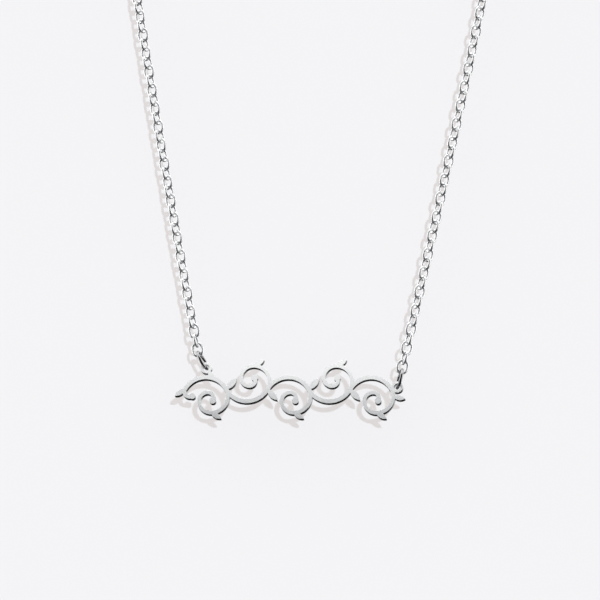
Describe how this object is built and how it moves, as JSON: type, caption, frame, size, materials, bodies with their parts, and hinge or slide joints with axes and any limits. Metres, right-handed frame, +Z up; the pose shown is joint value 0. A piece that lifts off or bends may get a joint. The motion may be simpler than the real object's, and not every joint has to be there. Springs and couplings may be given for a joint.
{
  "type": "nameplate necklace",
  "caption": "Silver-coloured necklace: a flat pierced vine plate hangs by two jump rings between two oval-link chains, closed by a clasp at the nape.",
  "frame": {"origin": "middle of the nape curve, on the chain's middle line, where the loop hangs on a neck", "axes": "+Z up, -Y towards the viewer, +X to the viewer's right; the loop lies in the XZ plane"},
  "size_m": [0.0852, 0.0046, 0.1656],
  "materials": {
    "plate_steel": "fine satin face, smooth cut edges",
    "chain_steel": "polished wire",
    "ring_steel": "polished wire",
    "clasp_steel": "polished"
  },
  "bodies": {
    "necklace": {"chain_left": "chain_steel", "chain_right": "chain_steel", "clasp": "clasp_steel", "end_ring": "ring_steel"},
    "pendant": {"nameplate": "plate_steel", "ring_left": "ring_steel", "ring_right": "ring_steel"}
  },
  "joints": [
    {"name": "plate_swing", "type": "hinge", "parent": "necklace", "child": "pendant", "pos_m": [0, 0, -0.15153], "axis": [0.9959, 0, -0.0904], "range_deg": [-40, 40]}
  ]
}
